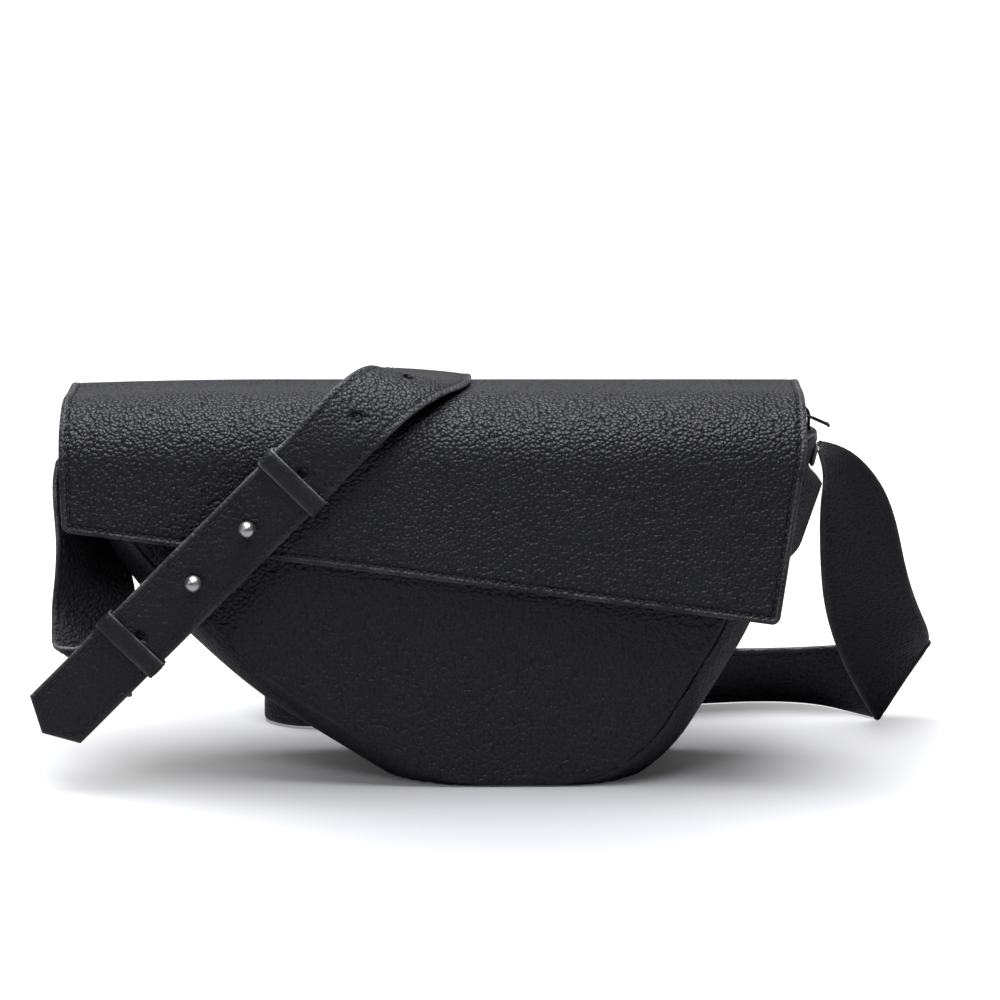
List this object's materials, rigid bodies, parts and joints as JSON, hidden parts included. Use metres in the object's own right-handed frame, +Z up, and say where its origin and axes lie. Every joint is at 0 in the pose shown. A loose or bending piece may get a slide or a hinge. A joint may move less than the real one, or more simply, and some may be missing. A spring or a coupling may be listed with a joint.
{
  "type": "saddle handbag",
  "caption": "Half-moon shoulder bag in black pebbled leather with a slanted fold-over flap, a zipped mouth and a stud-fastened strap over the front.",
  "frame": {"origin": "on the floor under the middle of the bag's flat base", "axes": "+X to the right along the bag's width, seen from the front; +Y from the front to the back; +Z up"},
  "size_m": [0.3863, 0.1542, 0.1734],
  "materials": {
    "pebbled_leather": "black pebbled grain, semi-matt",
    "strap_leather": "black fine grain, semi-matt, stitched edges",
    "lining_fabric": "black woven lining",
    "base_fibreboard": "grey-brown fibreboard",
    "zip_tape": "black woven tape",
    "dark_zip_metal": "dark plated metal",
    "polished_steel": "polished"
  },
  "bodies": {
    "bag": {"front_panel": "pebbled_leather", "back_panel": "pebbled_leather", "gusset": "pebbled_leather", "lining_front": "lining_fabric", "lining_back": "lining_fabric", "lining_gusset": "lining_fabric", "front_facing": "pebbled_leather", "back_facing": "pebbled_leather", "zip_end_tab": "pebbled_leather", "base_board": "base_fibreboard", "flap_root": "pebbled_leather", "strap_tab_left": "strap_leather", "strap_tab_right": "strap_leather", "strap_long_rear": "strap_leather", "strap_long_right": "strap_leather", "strap_short_side": "strap_leather"},
    "flap": {"flap_leather": "pebbled_leather", "flap_lining": "lining_fabric"},
    "strap_front": {"strap_long_front": "strap_leather", "strap_short_front": "strap_leather", "stud_lower": "polished_steel", "stud_upper": "polished_steel", "stud_screws": "polished_steel"},
    "tip_keeper": {"tip_keeper": "strap_leather"},
    "inner_keeper": {"inner_keeper": "strap_leather"},
    "zip_front": {"zip_tape_front": "zip_tape", "zip_teeth_front": "dark_zip_metal"},
    "zip_back": {"zip_tape_back": "zip_tape", "zip_teeth_back": "dark_zip_metal"},
    "zip_slider": {"zip_slider": "dark_zip_metal"},
    "zip_puller": {"zip_puller": "dark_zip_metal"}
  },
  "joints": [
    {"name": "flap_open", "type": "hinge", "parent": "bag", "child": "flap", "pos_m": [0, 0.04015, 0.137], "axis": [-1, 0, 0], "range_deg": [0, 165]},
    {"name": "strap_lift", "type": "hinge", "parent": "bag", "child": "strap_front", "pos_m": [0, 0.04015, 0.137], "axis": [-1, 0, 0], "range_deg": [0, 165]},
    {"name": "tip_keeper_slide", "type": "slide", "parent": "strap_front", "child": "tip_keeper", "axis": [0.7046, 0, 0.7096], "range_m": [-0.004, 0.024]},
    {"name": "inner_keeper_slide", "type": "slide", "parent": "strap_front", "child": "inner_keeper", "axis": [0.7046, 0, 0.7096], "range_m": [-0.012, 0]},
    {"name": "zip_slide", "type": "slide", "parent": "bag", "child": "zip_slider", "axis": [-1, 0, 0], "range_m": [0, 0.285]},
    {"name": "zip_front_part", "type": "slide", "parent": "bag", "child": "zip_front", "axis": [0, -1, 0], "range_m": [0, 0.0095]},
    {"name": "zip_back_part", "type": "slide", "parent": "bag", "child": "zip_back", "axis": [0, 1, 0], "range_m": [0, 0.0095]},
    {"name": "puller_swing", "type": "hinge", "parent": "zip_slider", "child": "zip_puller", "pos_m": [0.1254, 0, 0.15225], "axis": [0, -1, 0], "range_deg": [0, 60]}
  ],
  "couplings": [
    {"joint": "strap_lift", "follows": "flap_open", "ratio": 1},
    {"joint": "zip_front_part", "follows": "zip_slide", "ratio": 0.0333},
    {"joint": "zip_back_part", "follows": "zip_slide", "ratio": 0.0333}
  ]
}
